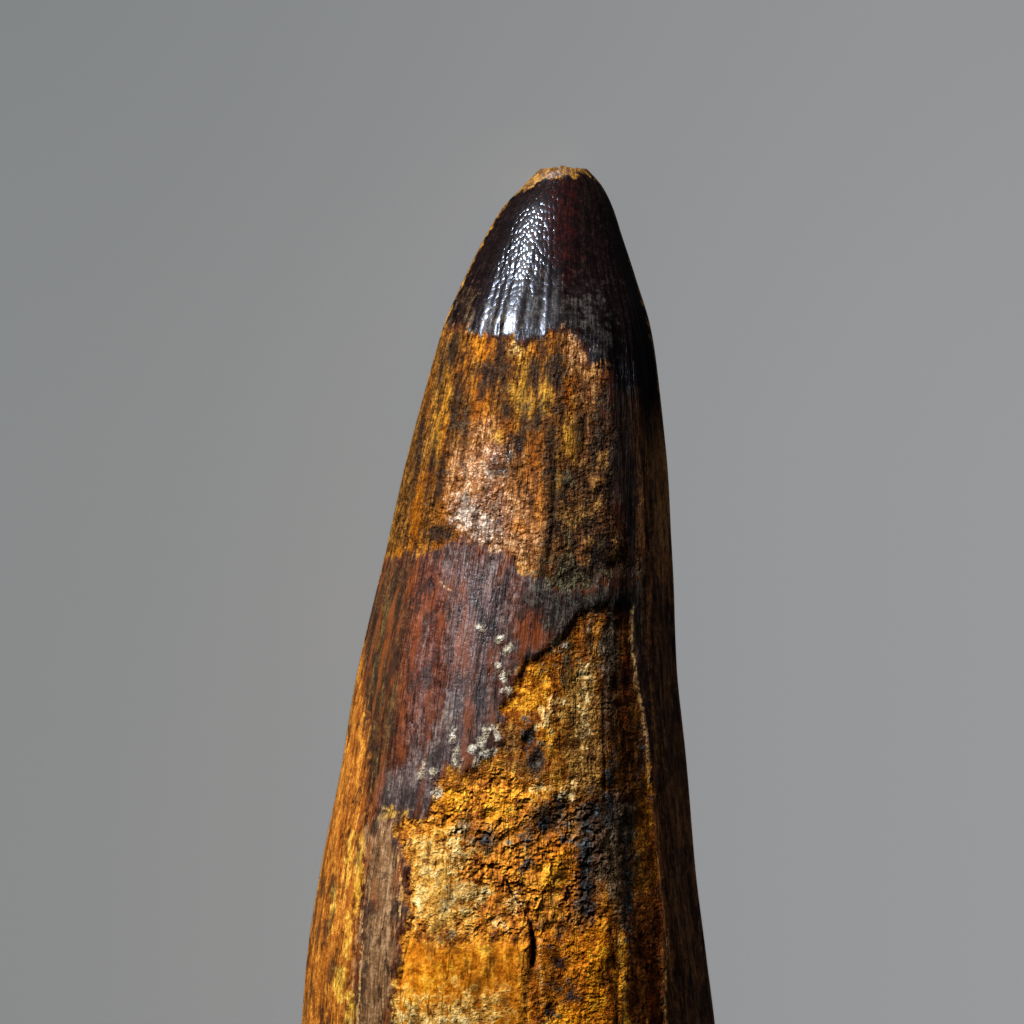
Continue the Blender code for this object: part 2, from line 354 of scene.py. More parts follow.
for keel in (0.0, math.pi):
    out += KEEL_HEIGHT * np.exp(-(unrolled(turn, depth, keel) / KEEL_WIDTH) ** 2) * blend(0.5, 5.0, depth)
crack = np.full(len(turn), 3.0)
for width, deep, line in CRACKS:
    gap = distance_to_line(upper, depth, on_upper_face(line))
    out -= deep * blend(width, 0.3 * width, gap)
    crack = np.minimum(crack, gap / width)
fine_crack = np.min([distance_to_line(upper, depth, on_upper_face(line)) for line in SHALLOW_CRACKS], axis=0)
painted_edge_highlight = np.min([distance_to_line(upper, depth, on_upper_face(line)) for line in PAINTED_EDGE_HIGHLIGHTS], axis=0)
out -= SHALLOW_CRACK_DEPTH * blend(SHALLOW_CRACK_WIDTH, 0.0, fine_crack)
for lump_across, lump_depth, radius, lump_height in LUMPS:
    away = np.hypot(upper - round_the_side(lump_across, lump_depth), depth - lump_depth)
    out += lump_height * blend(radius, 0.2 * radius, away)
enamel_end = ENAMEL_END + sum(rise * np.sin(count * turn + phase) for rise, count, phase in ENAMEL_END_WAVES)
root = depth - enamel_end + ragged
out += blend(0.0, 0.4, root) * (hills(plain, *ROOT_HILLS) - ROOT_STEP)

# The worn tip and the break are discs that close the two ends, and the pulp cavity is a hollow in the break.
across, height = section(turn, depth, out)
centre = underside(depth) + half_thickness(depth)
across = middle_line(depth) + (across - middle_line(depth)) * reach
height = centre + (height - centre) * reach
disc = np.stack([across, depth, height], axis=1)
on_break = blend(0.98, 1.0, depth / LENGTH)
cavity = blend(0.45, 0.12, reach) * (along > break_start)
down = depth + on_break * (hills(disc, *BREAK_HILLS) + BREAK_SLOPE * across - CAVITY_DEPTH * cavity)
down -= hills(disc, *TIP_HILLS) * (along < tip_end)
places = np.stack([across, -down, np.maximum(height, 0.0)], axis=1)
middle = (places.min(axis=0) + places.max(axis=0)) / 2
middle[2] = 0.0
places -= middle
skin.vertices.foreach_set("co", (places * MM).ravel())
skin.update()
skin.shade_smooth()

# Stains, and a few patches of painted sheen and glints. Each is a list of patches on the upper face: rings of
# points, and ovals as the middle and the two half axes. On the lower face a stain follows broad hills, above a
# level that sets how common it is. The order of the stains sets the seeds of those hills.
STAINS_AND_PAINTED_LIGHT = {
    "side": (
        ((4.2, 8.36), (5.28, 6.52), (15.68, 6.52), (15.68, 43.32), (5.28, 43.32), (5.16, 37.32),
         (5.12, 33.32), (5.12, 29.32), (5.28, 25.32), (5.68, 23.72), (5.52, 22.12), (5.28, 20.92),
         (5.16, 18.92), (4.96, 17.56), (3.68, 17.56), (2.68, 17.48), (3.28, 17.24), (5.28, 17.08),
         (4.88, 15.72), (4.56, 14.12), (4.0, 12.12), (4.2, 10.52)),
    ),
    "side_brown": (
        (6.0, 13.32, 0.32, 2.0), (5.68, 14.92, 0.64, 1.36),
        ((5.28, 25.32), (15.68, 24.52), (15.68, 43.32), (5.28, 43.32), (5.16, 33.32), (5.12, 29.32)),
        (5.28, 9.32, 0.4, 1.6),
    ),
    "brown_side": (
        ((-8.32, 15.56), (-3.84, 15.44), (-3.92, 17.32), (-4.16, 18.92), (-4.4, 21.32), (-4.96, 23.72),
         (-5.44, 25.8), (-8.32, 25.8)),
        (5.28, 16.92, 1.2, 0.48),
    ),
    "red": (
        (-3.4, 19.12, 0.8, 2.8), (-2.12, 16.52, 0.9, 0.6), (1.1, 18.3, 0.3, 0.6),
    ),
    # Purple-grey enamel whose lighter grey is partly a painted sheen.
    "purple_stain_and_sheen": (
        ((-2.88, 15.8), (-0.32, 15.8), (-0.08, 17.32), (-0.4, 19.72), (-1.12, 21.56), (-2.24, 21.8),
         (-2.56, 19.32), (-2.4, 17.32)),
        (-3.52, 21.32, 0.32, 1.6),
    ),
    "grey": (
        ((-2.48, 20.92), (-0.48, 20.68), (-0.24, 21.8), (-0.4, 23.08), (-1.52, 23.88), (-2.88, 24.44),
         (-3.12, 25.32), (-3.32, 25.8), (-4.4, 26.04), (-5.44, 25.8), (-5.28, 24.52), (-3.92, 23.72),
         (-2.88, 22.36)),
        (-0.44, 18.52, 0.24, 0.64), (-0.36, 19.52, 0.32, 0.72), (1.92, 17.92, 0.48, 1.04),
        (0.88, 19.4, 0.64, 0.28), (1.48, 17.0, 0.48, 0.56), (-3.04, 15.04, 0.8, 0.28),
        (-1.12, 15.4, 0.96, 0.28), (-0.08, 15.96, 0.64, 0.28), (1.08, 16.72, 0.4, 0.4),
    ),
    "olive_side": (
        (-5.24, 18.92, 0.32, 1.76), (-5.68, 18.52, 0.24, 1.2), (-4.72, 21.12, 0.2, 1.6),
        (-6.24, 23.32, 0.2, 1.2), (-5.28, 23.72, 0.2, 2.0),
    ),
    "amber": (
        ((-12.32, 18.92), (-5.84, 19.32), (-5.92, 20.92), (-5.84, 22.92), (-5.76, 25.8), (-5.92, 26.52),
         (-5.84, 28.12), (-6.0, 29.32), (-6.24, 31.72), (-6.48, 33.32), (-7.12, 39.72), (-9.12, 42.52),
         (-13.12, 42.52)),
    ),
    "gold_left": (
        (-6.04, 27.96, 0.28, 1.2), (-6.84, 32.52, 0.56, 0.72), (-6.52, 27.72, 0.2, 0.8),
        (-5.92, 27.12, 0.2, 0.8), (-7.12, 29.32, 0.2, 0.8), (-6.32, 33.72, 0.32, 0.56),
        (-4.8, 25.8, 0.48, 0.2), (-6.52, 30.92, 0.16, 0.8),
    ),
    "strip": (
        ((-6.0, 26.2), (-4.48, 26.04), (-4.48, 27.32), (-4.36, 28.52), (-4.48, 29.92), (-4.56, 31.72),
         (-4.68, 33.32), (-4.8, 36.52), (-5.12, 40.52), (-6.72, 40.52), (-6.32, 35.72), (-6.12, 33.32),
         (-6.0, 30.52), (-5.68, 28.52), (-5.68, 27.32)),
    ),
    "right_rim": (
        ((5.2, 8.9), (9.7, 8.5), (15.7, 18.5), (15.7, 43.0), (6.4, 43.0), (6.3, 33.0), (5.9, 25.3),
         (5.7, 20.0), (5.5, 15.0)),
    ),
    "upper_rim": (
        ((5.4, 9.6), (9.7, 9.2), (9.7, 17.0), (6.1, 16.6), (5.7, 13.0)),
    ),
    "cap_flank": (
        ((4.3, 7.0), (9.7, 7.0), (9.7, 9.0), (6.4, 10.0), (5.4, 11.8), (4.5, 10.5)),
    ),
    "cap": (
        ((-7.12, -1.08), (7.68, -1.08), (9.28, 7.72), (7.28, 8.52), (5.68, 8.92), (4.76, 8.92),
         (4.24, 8.72), (4.2, 8.36), (3.52, 8.04), (3.2, 7.4), (2.8, 6.84), (2.16, 6.52), (1.72, 6.64),
         (1.48, 6.96), (0.48, 7.04), (-0.32, 6.92), (-0.72, 6.8), (-1.52, 6.76), (-2.0, 6.4), (-2.72, 6.56),
         (-7.12, 6.52)),
    ),
    "brown_film": (
        (-1.84, 5.8, 0.64, 0.88), (-2.52, 6.32, 0.4, 0.48), (-0.32, 6.32, 0.8, 0.32),
        (-2.12, 4.92, 0.32, 0.64),
    ),
    "glow": (
        (2.08, 2.52, 0.48, 1.52), (2.4, 4.6, 0.24, 0.8), (2.08, 0.92, 0.56, 0.48), (1.6, 1.92, 0.2, 0.8),
    ),
    "film": (
        (2.8, 6.04, 0.96, 0.72), (0.48, 6.44, 1.36, 0.4), (2.08, 5.52, 0.48, 0.48), (3.68, 7.12, 0.36, 0.72),
        (1.08, 5.56, 0.48, 0.56),
    ),
    "upper_wear": (
        ((-8.32, 3.32), (8.48, 3.32), (8.48, 17.48), (5.28, 17.56), (3.68, 17.56), (2.08, 17.32),
         (-8.32, 17.32)),
    ),
    "left_wear": (
        ((-7.12, 6.12), (-2.72, 6.52), (-2.24, 7.12), (-2.4, 8.92), (-2.64, 11.32), (-2.96, 12.52),
         (-3.92, 15.56), (-7.52, 15.56)),
    ),
    "left_orange": (
        (-3.84, 13.88, 0.52, 1.44), (-2.72, 10.52, 0.24, 1.6), (-3.32, 12.44, 0.32, 0.56),
        (-2.72, 13.32, 0.24, 0.96), (-3.32, 9.32, 0.2, 0.8), (-2.88, 14.92, 0.32, 0.48),
        (-4.56, 15.56, 0.24, 0.32),
    ),
    "left_yellow": (
        (-2.48, 9.24, 0.32, 0.72), (-2.96, 10.92, 0.28, 0.8), (-2.72, 8.52, 0.24, 0.64),
        (-2.24, 7.12, 0.2, 0.4), (-3.12, 9.72, 0.16, 0.56),
    ),
    "upper_orange": (
        (-1.12, 7.24, 0.64, 0.48), (1.76, 7.08, 0.28, 0.48), (0.96, 7.32, 0.32, 0.32),
        (-1.28, 9.32, 0.56, 0.96), (0.88, 11.72, 0.48, 1.2), (-0.56, 12.92, 0.24, 0.56),
        (0.56, 12.12, 0.4, 0.96), (-1.92, 8.52, 0.2, 0.72), (0.32, 14.44, 0.4, 0.4), (2.4, 9.08, 0.4, 0.64),
        (-0.12, 10.52, 0.4, 0.48), (1.2, 13.32, 0.32, 0.8),
    ),
    "upper_yellow": (
        (0.56, 8.2, 0.2, 1.28), (1.48, 9.16, 0.28, 0.48), (2.76, 11.24, 0.2, 0.48), (0.8, 9.48, 0.32, 0.56),
        (0.16, 9.0, 0.16, 0.4), (2.32, 10.92, 0.16, 0.4), (-0.32, 10.92, 0.24, 0.32),
        (2.08, 12.72, 0.32, 0.32),
    ),
    "pink": (
        (2.76, 7.4, 0.48, 0.72), (3.32, 8.76, 0.4, 0.6),
        ((-2.32, 11.4), (-0.72, 10.76), (0.48, 11.16), (1.28, 11.72), (1.44, 13.32), (1.48, 14.92),
         (1.08, 15.96), (0.16, 15.72), (-0.72, 15.24), (-1.84, 14.52), (-2.48, 13.52), (-2.48, 12.32)),
        (-1.2, 10.52, 0.64, 0.4),
    ),
    # Where glints are painted as near-white specks, and where the real shine is raised as well.
    "glint": (
        ((-2.4, 13.32), (-1.52, 13.32), (-0.32, 13.0), (0.24, 13.8), (0.16, 14.92), (-0.48, 15.24),
         (-1.52, 14.92), (-2.32, 14.12)),
        (-0.52, 11.52, 0.64, 0.48), (-1.36, 12.12, 0.56, 0.48),
    ),
    # Painted sheen: a whitish-grey patch where the worn dentine shows a sheen.
    "painted_grey_sheen": (
        (-1.75, 14.0, 0.6, 0.6), (-1.0, 14.5, 0.55, 0.45), (-0.6, 12.4, 0.3, 0.5),
    ),
    "right_wear": (
        ((3.92, 8.68), (5.28, 9.32), (5.68, 11.32), (5.88, 14.12), (5.68, 16.92), (3.68, 17.16),
         (2.08, 16.92), (1.76, 15.72), (1.92, 13.32), (2.32, 12.12), (3.28, 10.92)),
    ),
    "dark": (
        (-2.36, 7.28, 0.52, 0.7), (-3.64, 10.76, 0.29, 1.3), (-0.84, 8.4, 0.46, 0.6),
        (-2.16, 9.64, 0.29, 1.2), (1.92, 8.2, 0.46, 0.8), (0.4, 11.04, 0.35, 0.5),
        (1.72, 11.32, 0.24, 1.0), (2.92, 10.6, 0.23, 0.8), (0.64, 10.32, 0.23, 0.7),
        (-0.2, 8.28, 0.23, 0.6), (1.04, 8.28, 0.29, 0.6), (-2.84, 12.52, 0.23, 0.8),
        (-3.2, 11.8, 0.23, 1.1), (2.08, 14.12, 0.2, 1.4), (3.2, 13.32, 0.29, 1),
        (3.68, 10.92, 0.35, 1.3), (4.16, 12.12, 0.29, 1.5), (2.68, 16.32, 1.28, 0.5),
        (3.28, 14.12, 0.35, 1), (-0.4, 7.32, 0.23, 1.3), (-0.32, 12.04, 0.46, 0.25),
        (-1.2, 8.2, 0.46, 0.25), (2.08, 9.72, 0.23, 0.7), (-2.8, 7.96, 0.23, 0.8),
        (-1.84, 10.12, 0.23, 0.9), (-3.12, 7.4, 0.35, 0.5), (-3.84, 12.12, 0.17, 1),
        (-2.9, 14.7, 0.7, 0.35), (-0.12, 9.72, 0.23, 0.6), (1.2, 10.12, 0.23, 0.8),
        (3.68, 15.72, 0.58, 1.3), (1.48, 7.32, 0.23, 0.3), (0, 11.52, 0.23, 0.4), (-1.2, 9, 0.23, 0.4),
        (4.48, 10.92, 0.29, 2), (3.92, 9.32, 0.23, 0.8), (2.45, 20.0, 0.28, 1.1), (4.15, 19.2, 0.45, 1.5),
    ),
    "edge_dark": (
        ((1.52, 11.8), (1.92, 11.92), (1.96, 13.32), (1.88, 14.52), (1.72, 15.72), (1.48, 16.32),
         (1.28, 16.2), (1.48, 15.12), (1.6, 13.92)),
        ((2.68, 17.32), (5.12, 17.16), (5.04, 17.64), (3.68, 17.56), (2.88, 17.8)),
        (5.28, 13.32, 0.16, 1.44), (5.48, 11.32, 0.16, 1.6),
    ),
    "green": (
        ((1.48, 16.4), (2.88, 16.44), (4.08, 16.44), (5.36, 16.2), (5.52, 17.0), (4.48, 17.24), (3.08, 17.32),
         (2.08, 17.16), (1.56, 16.92)),
        (2.4, 12.6, 0.32, 0.36), (2.28, 15.72, 0.32, 0.4), (2.48, 14.92, 0.24, 0.32),
    ),
    "tan": (
        (3.16, 15.16, 0.2, 0.52), (4.6, 14.92, 0.16, 0.6), (3.6, 12.68, 0.36, 0.52),
        (1.84, 15.56, 0.16, 0.56), (3.12, 12.44, 0.2, 0.32), (2.48, 14.52, 0.16, 0.72),
        (3.48, 13.64, 0.32, 0.24), (2.16, 13.72, 0.32, 0.24), (3.04, 13.52, 0.2, 0.4),
        (3.88, 11.72, 0.24, 0.32), (4.28, 15.52, 0.16, 0.32), (2.8, 14.12, 0.12, 0.48),
        (2.68, 9.32, 0.12, 0.56), (3.36, 8.52, 0.16, 0.32),
    ),
    "shade_right": (
        ((4.0, 8.7), (5.6, 8.6), (6.2, 16.9), (3.4, 16.9), (4.1, 14.0), (3.5, 11.0)),
    ),
    "low_right": (
        ((4.45, 30.0), (6.7, 27.5), (7.2, 40.0), (4.6, 40.0)),
    ),
    "dark_band": (
        ((0.9, 16.5), (1.9, 17.0), (3.6, 17.0), (5.3, 16.8), (5.3, 17.7), (3.7, 17.7), (2.8, 18.0),
         (2.3, 18.6), (1.5, 18.5), (1.0, 17.5)),
    ),
    "below_edge": (
        ((0.48, 19.88), (1.9, 18.7), (2.6, 18.2), (3.4, 18.1), (3.3, 19.6), (2.5, 20.0), (2.1, 21.6),
         (1.7, 23.8), (1.28, 24.52), (-0.16, 22.92), (-0.32, 21.8), (0.16, 20.92)),
    ),
    "olive": (
        ((2.4, 19.9), (3.2, 19.7), (3.7, 18.6), (3.84, 20.92), (3.92, 23.72), (3.92, 25.32), (3.36, 25.56),
         (2.4, 24.52), (2.3, 22.92)),
        (2.08, 21.72, 0.32, 0.56), (0.16, 22.92, 0.48, 0.72), (0.64, 23.92, 0.96, 0.4),
    ),
    "right2": (
        ((3.84, 17.96), (5.12, 17.56), (5.28, 20.92), (5.68, 23.72), (5.28, 25.32), (5.12, 27.72),
         (4.08, 26.52), (3.92, 23.72), (3.84, 20.92)),
    ),
    "granular": (
        ((-4.4, 26.04), (-3.32, 25.8), (-1.52, 24.52), (-0.32, 24.12), (2.08, 24.92), (3.68, 25.32),
         (3.92, 26.92), (3.68, 30.32), (2.08, 30.72), (-1.52, 30.6), (-2.72, 30.32), (-4.12, 30.52),
         (-4.4, 28.52)),
    ),
    "yellow": (
        (1.48, 20.92, 0.24, 1.04), (0.88, 21.32, 0.64, 0.4), (1.6, 22.72, 0.32, 0.8),
        (-0.44, 25.52, 0.72, 0.56), (-2.4, 25.32, 0.8, 0.56), (-3.36, 32.76, 0.64, 0.64),
        (-1.6, 31.12, 0.88, 0.28), (-3.12, 28.92, 0.64, 1.44), (-2.72, 26.52, 0.96, 0.32),
        (2.56, 20.04, 0.16, 0.56), (0.88, 24.92, 0.88, 0.24), (1.92, 28.12, 0.56, 0.72),
        (-3.88, 28.12, 0.24, 1.2), (-3.92, 33.32, 0.4, 0.56), (-2.72, 31.92, 0.4, 0.32),
        (1.08, 20.2, 0.64, 0.32),
    ),
    "cream_zone": (
        ((-4.0, 26.84), (-2.9, 26.5), (-2.3, 27.2), (-1.4, 27.3), (-2.0, 28.2), (-1.0, 28.9), (-1.6, 29.8),
         (-2.1, 30.6), (-3.36, 30.3), (-4.0, 29.32)),
        ((-4.64, 33.32), (-3.12, 33.16), (-0.32, 32.92), (-0.4, 34.2), (-1.2, 35.3), (-2.4, 35.0),
         (-3.3, 36.4), (-4.3, 36.0), (-4.7, 34.92)),
    ),
    "low_orange": (
        ((-4.16, 30.76), (-2.32, 30.92), (-0.32, 30.76), (0.8, 30.72), (0.72, 31.72), (0.56, 33.32),
         (0.48, 39.72), (-4.96, 39.72), (-4.48, 31.72)),
    ),
    "spotted": (
        ((1.12, 30.32), (2.68, 30.52), (4.16, 29.92), (4.24, 31.32), (4.4, 33.32), (4.4, 39.72),
         (0.56, 39.72), (0.88, 33.32), (1.28, 31.72)),
        (2.08, 27.72, 0.96, 0.88),
    ),
    "gold": (
        (3.68, 32.32, 0.36, 2.0), (3.6, 35.72, 0.36, 1.6), (4.7, 32.92, 0.16, 1.8),
        ((1.6, 33.72), (3.28, 33.32), (3.68, 39.72), (0.88, 39.72)),
    ),
    "slate": (
        ((2.64, 25.32), (4.16, 24.92), (5.28, 25.32), (5.28, 27.72), (5.12, 30.32), (4.56, 30.32),
         (4.16, 28.92), (3.76, 28.52), (3.44, 29.52), (3.04, 30.2), (2.64, 29.32), (2.88, 27.72)),
        (1.68, 26.04, 0.8, 0.64), (0.96, 26.52, 0.2, 0.32), (4.2, 18.92, 0.36, 1.04), (4.16, 21.32, 0.2, 1.2),
        (-0.96, 26.84, 0.48, 0.32), (-1.68, 26.36, 0.4, 0.2), (3.28, 18.92, 0.2, 0.64),
        (5.28, 18.92, 0.16, 0.8),
    ),
    "blue": (
        (0.85, 22.7, 0.32, 0.6), (1.2, 23.6, 0.4, 0.62), (3.2, 27.24, 0.32, 1.6), (3.28, 29.12, 0.32, 0.8),
        (4.96, 29.0, 0.2, 1.28), (1.52, 26.2, 0.32, 0.28), (0.96, 26.52, 0.16, 0.24),
        (2.4, 26.72, 0.16, 0.24), (2.2, 30.44, 0.16, 0.24), (2.12, 31.64, 0.32, 0.2),
        (1.68, 33.64, 0.36, 0.28), (-0.96, 26.84, 0.24, 0.2), (-2.44, 30.64, 0.2, 0.12),
        (-2.12, 29.24, 0.4, 0.16), (-1.92, 28.68, 0.36, 0.16), (3.52, 25.52, 0.24, 0.56),
        (5.6, 22.92, 0.2, 1.04), (4.2, 24.52, 0.12, 0.48), (1.76, 32.52, 0.24, 0.24),
        (2.64, 32.72, 0.16, 0.24), (1.6, 31.12, 0.16, 0.16), (-0.44, 19.32, 0.16, 0.48),
        (1.28, 19.52, 0.32, 0.12), (4.08, 25.72, 0.2, 0.56), (2.16, 25.32, 0.32, 0.32),
        (0.48, 26.76, 0.2, 0.16), (1.48, 19.92, 0.12, 0.16), (2.08, 19.72, 0.12, 0.2),
        (2.68, 32.92, 0.32, 0.2), (0.64, 27.8, 0.24, 0.16),
    ),
    "cream": (
        (0.28, 29.32, 0.16, 0.24), (1.48, 22.04, 0.2, 0.32), (-3.36, 27.8, 0.24, 0.48),
        (-2.28, 27.32, 0.2, 0.56), (-3.52, 29.12, 0.16, 0.48), (-4.12, 33.88, 0.32, 0.24),
        (-3.12, 33.96, 0.56, 0.2), (-1.72, 34.12, 0.56, 0.2), (-1.84, 28.92, 0.48, 0.4),
        (-3.04, 28.32, 0.16, 0.24), (1.92, 21.4, 0.16, 0.12), (1.28, 24.76, 0.24, 0.12),
        (2.52, 24.88, 0.16, 0.2), (-2.72, 29.52, 0.24, 0.16), (-0.32, 29.92, 0.16, 0.2),
        (-1.12, 29.12, 0.24, 0.32), (-2.52, 27.0, 0.24, 0.16),
        (0.28, 7.32, 0.16, 0.2), (3.2, 21.2, 0.12, 0.7),
    ),
    "rust": (
        (2.8, 8.68, 0.08, 0.32), (3.32, 8.84, 0.08, 0.36), (2.4, 9.16, 0.08, 0.36), (3.92, 8.44, 0.16, 0.16),
        (3.0, 15.24, 0.08, 0.52), (4.4, 17.8, 0.64, 0.4), (4.88, 20.52, 0.2, 1.6), (5.88, 32.72, 0.2, 1.6),
        (5.92, 27.32, 0.16, 0.4), (4.4, 25.52, 0.16, 0.4), (1.08, 32.72, 0.12, 1.2),
        (-4.12, 28.32, 0.1, 0.96), (4.16, 32.92, 0.1, 1.2), (6.24, 30.12, 0.16, 0.96),
        (2.64, 29.32, 0.1, 0.32), (-0.32, 28.92, 0.1, 0.36),
    ),
    "crust": (
        (-1.08, 18.44, 0.12, 0.14), (-0.44, 18.92, 0.12, 0.12), (-0.08, 19.24, 0.18, 0.2),
        (-0.44, 20.04, 0.12, 0.12), (-0.16, 20.32, 0.14, 0.14), (-0.08, 20.92, 0.16, 0.16),
        (2.04, 19.08, 0.2, 0.12), (-0.72, 22.44, 0.2, 0.12), (-1.12, 22.92, 0.12, 0.2),
        (-0.44, 22.76, 0.12, 0.2), (-0.84, 23.4, 0.24, 0.12), (-2.12, 23.32, 0.12, 0.16),
        (-2.24, 22.76, 0.08, 0.12), (-3.52, 24.12, 0.12, 0.24), (-3.0, 24.2, 0.2, 0.16),
        (-2.88, 24.92, 0.16, 0.2), (-1.44, 23.24, 0.12, 0.12), (-1.36, 23.8, 0.1, 0.14),
        (-0.96, 22.64, 0.12, 0.12), (-2.04, 23.72, 0.12, 0.12),
    ),
}
STAIN_BELOW_LENGTH = 4.5
STAIN_BELOW_SEED = 50
STAIN_BELOW_LEVEL = {
    "red": 0.3, "purple_stain_and_sheen": 0.5, "grey": 0.5, "amber": 0.2, "gold_left": 0.6, "side": 0.6, "side_brown": 0.2,
    "brown_side": 0.4, "yellow": 0.5, "low_orange": 0.3, "granular": 0.1, "pink": 0.6, "rust": 0.7,
    "dark": 0.4, "olive": 0.6, "tan": 0.7, "slate": 0.6, "blue": 0.9,
}
NOWHERE_BELOW = 3.0
CAP_END_BELOW = 7.2
CAP_EDGE_HILLS = (0.8, 6.0, 40)
FARTHEST = 5.0
FARTHEST_LINE = 3.0
KEEL_AND_RIM_LIGHT_WIDTH = 0.42
KEEL_AND_RIM_LIGHT_NARROWS = 0.25
TIP_WEAR_DEPTH = 0.22
TIP_WEAR = (
    (-0.6, 1.3), (0.3, 1.1), (0.8, 0.85), (1.3, 0.5), (1.8, 0.36), (2.3, 0.34), (2.9, 0.22), (3.3, 0.0),
    (3.2, -0.8), (-1.0, -0.8), (-1.6, 0.6),
)


def inside_oval(across, depth, oval):
    """About the distance to an oval's edge: positive inside."""
    middle_across, middle_depth, half_across, half_depth = oval
    from_middle = np.hypot((across - round_the_side(middle_across, middle_depth)) / half_across,
                           (depth - middle_depth) / half_depth)
    return (1 - from_middle) * min(half_across, half_depth)


def keep(name, values):
    """Stores one number for each point of the skin, for the material to read."""
    skin.attributes.new(name, "FLOAT", "POINT").data.foreach_set("value", np.asarray(values, np.float32))


turned_up = blend(-0.25, 0.05, np.sin(turn))
for number, (stain, patches) in enumerate(STAINS_AND_PAINTED_LIGHT.items()):
    reached = np.full(len(turn), -FARTHEST)
    for patch in patches:
        if isinstance(patch[0], tuple):
            reached = np.maximum(reached, inside(upper, depth, on_upper_face(patch)))
        else:
            reached = np.maximum(reached, inside_oval(upper, depth, patch))
    if stain == "cap":
        below = CAP_END_BELOW + hills(plain, CAP_EDGE_HILLS) - depth
    else:
        wander = hills(plain * (1.0, 0.45, 1.0), (1.0, STAIN_BELOW_LENGTH, STAIN_BELOW_SEED + number))
        below = wander - STAIN_BELOW_LEVEL.get(stain, NOWHERE_BELOW)
    keep(stain, np.clip(reached * turned_up + below * (1 - turned_up), -FARTHEST, FARTHEST))
keep("worn", np.clip(worn, -FARTHEST, FARTHEST))
keep("root", np.clip(root, -FARTHEST, FARTHEST))
keep("crack", crack)
keep("fine_crack", np.minimum(fine_crack, FARTHEST_LINE))
keep("painted_edge_highlight", np.minimum(painted_edge_highlight, FARTHEST_LINE))
# A band along both keels: partly worn keel, partly painted rim light, and wider near the tip.
from_keels = np.minimum(np.abs(unrolled(turn, depth, 0.0)) * 1.3, np.abs(unrolled(turn, depth, math.pi)))
keel_and_rim_light_width = KEEL_AND_RIM_LIGHT_WIDTH - KEEL_AND_RIM_LIGHT_NARROWS * blend(5.0, 12.0, depth)
keep("keel_and_rim_light", keel_and_rim_light_width - np.minimum(from_keels, FARTHEST_LINE))
keep("cavity", cavity)
keep("break_face", blend(0.985, 1.0, depth / LENGTH))
keep("tip_wear", np.maximum(TIP_WEAR_DEPTH - depth, inside(upper, depth, on_upper_face(TIP_WEAR))))
keep("depth", depth)
places_of_streaks = skin.attributes.new("streaks", "FLOAT_VECTOR", "POINT")
places_of_streaks.data.foreach_set("vector", streaks.astype(np.float32).ravel())

tooth = bpy.data.objects.new("fossil_tooth", skin)
bpy.context.scene.collection.objects.link(tooth)


# The material: fossil enamel and dentine.
# Fossil enamel is a glassy mineral skin, stained nearly black near the tip and red-brown below, with fine
# wrinkles along it that break up its highlight. Where it is gone, the dentine is dull, granular and orange.
fossil = bpy.data.materials.new("fossil_enamel_and_dentine")
fossil.use_nodes = True
tree = fossil.node_tree
tree.nodes.clear()


def colour(code):
    """An sRGB hex colour turned to linear."""
    parts = [int(code[i:i + 2], 16) / 255 for i in (1, 3, 5)]
    return tuple(c / 12.92 if c <= 0.04045 else ((c + 0.055) / 1.055) ** 2.4 for c in parts) + (1.0,)


def add(kind, inputs=(), output=0, **settings):
    """Adds a node with its settings, fills its inputs with values or other outputs, and gives one output."""
    node = tree.nodes.new(kind)
    for name, value in settings.items():
        setattr(node, name, value)
    for socket, value in dict(inputs).items():
        if isinstance(value, bpy.types.NodeSocket):
            tree.links.new(value, node.inputs[socket])
        else:
            node.inputs[socket].default_value = value
    return node.outputs[output]


def field(name):
    return add("ShaderNodeAttribute", attribute_name=name, output="Fac")


def noise(where, scale, detail, roughness):
    """Noise about 0, mostly between -1 and 1."""
    inputs = {"Vector": where, "Scale": scale, "Detail": detail, "Roughness": roughness}
    raw = add("ShaderNodeTexNoise", inputs)
    return add("ShaderNodeMapRange", {0: raw, 1: 0.25, 2: 0.75, 3: -1.0, 4: 1.0}, clamp=False)


def maths(operation, *values):
    return add("ShaderNodeMath", dict(enumerate(values)), operation=operation)


def rise(value, low, high, top=1.0):
    """0 at low and top at high, with a smooth rise between them. It falls where low is above high."""
    inputs = {0: value, 1: low, 2: high, 3: 0.0, 4: top}
    return add("ShaderNodeMapRange", inputs, interpolation_type="SMOOTHSTEP")


def number_between(share, first, second):
    return add("ShaderNodeMix", {0: share, 2: first, 3: second}, data_type="FLOAT")


def mix(share, first, second):
    """Mixes two colours. A hex code is turned to linear."""
    colours = [colour(c) if isinstance(c, str) else c for c in (first, second)]
    return add("ShaderNodeMix", {0: share, 6: colours[0], 7: colours[1]}, output=2, data_type="RGBA")


def shade(base, factor):
    """A colour made lighter or darker by a factor."""
    return add("ShaderNodeVectorMath", {0: base, "Scale": factor}, operation="SCALE")


body = add("ShaderNodeTexCoord", output="Object")
body_mm = add("ShaderNodeVectorMath", {0: body, "Scale": 1 / MM}, operation="SCALE")
streak_place = add("ShaderNodeAttribute", attribute_name="streaks", output="Vector")


def stretched(around, down):
    """Streak coordinates with this many cells a millimetre round the tooth and down it."""
    return add("ShaderNodeVectorMath", {0: streak_place, 1: (around, down, around)}, operation="MULTIPLY")


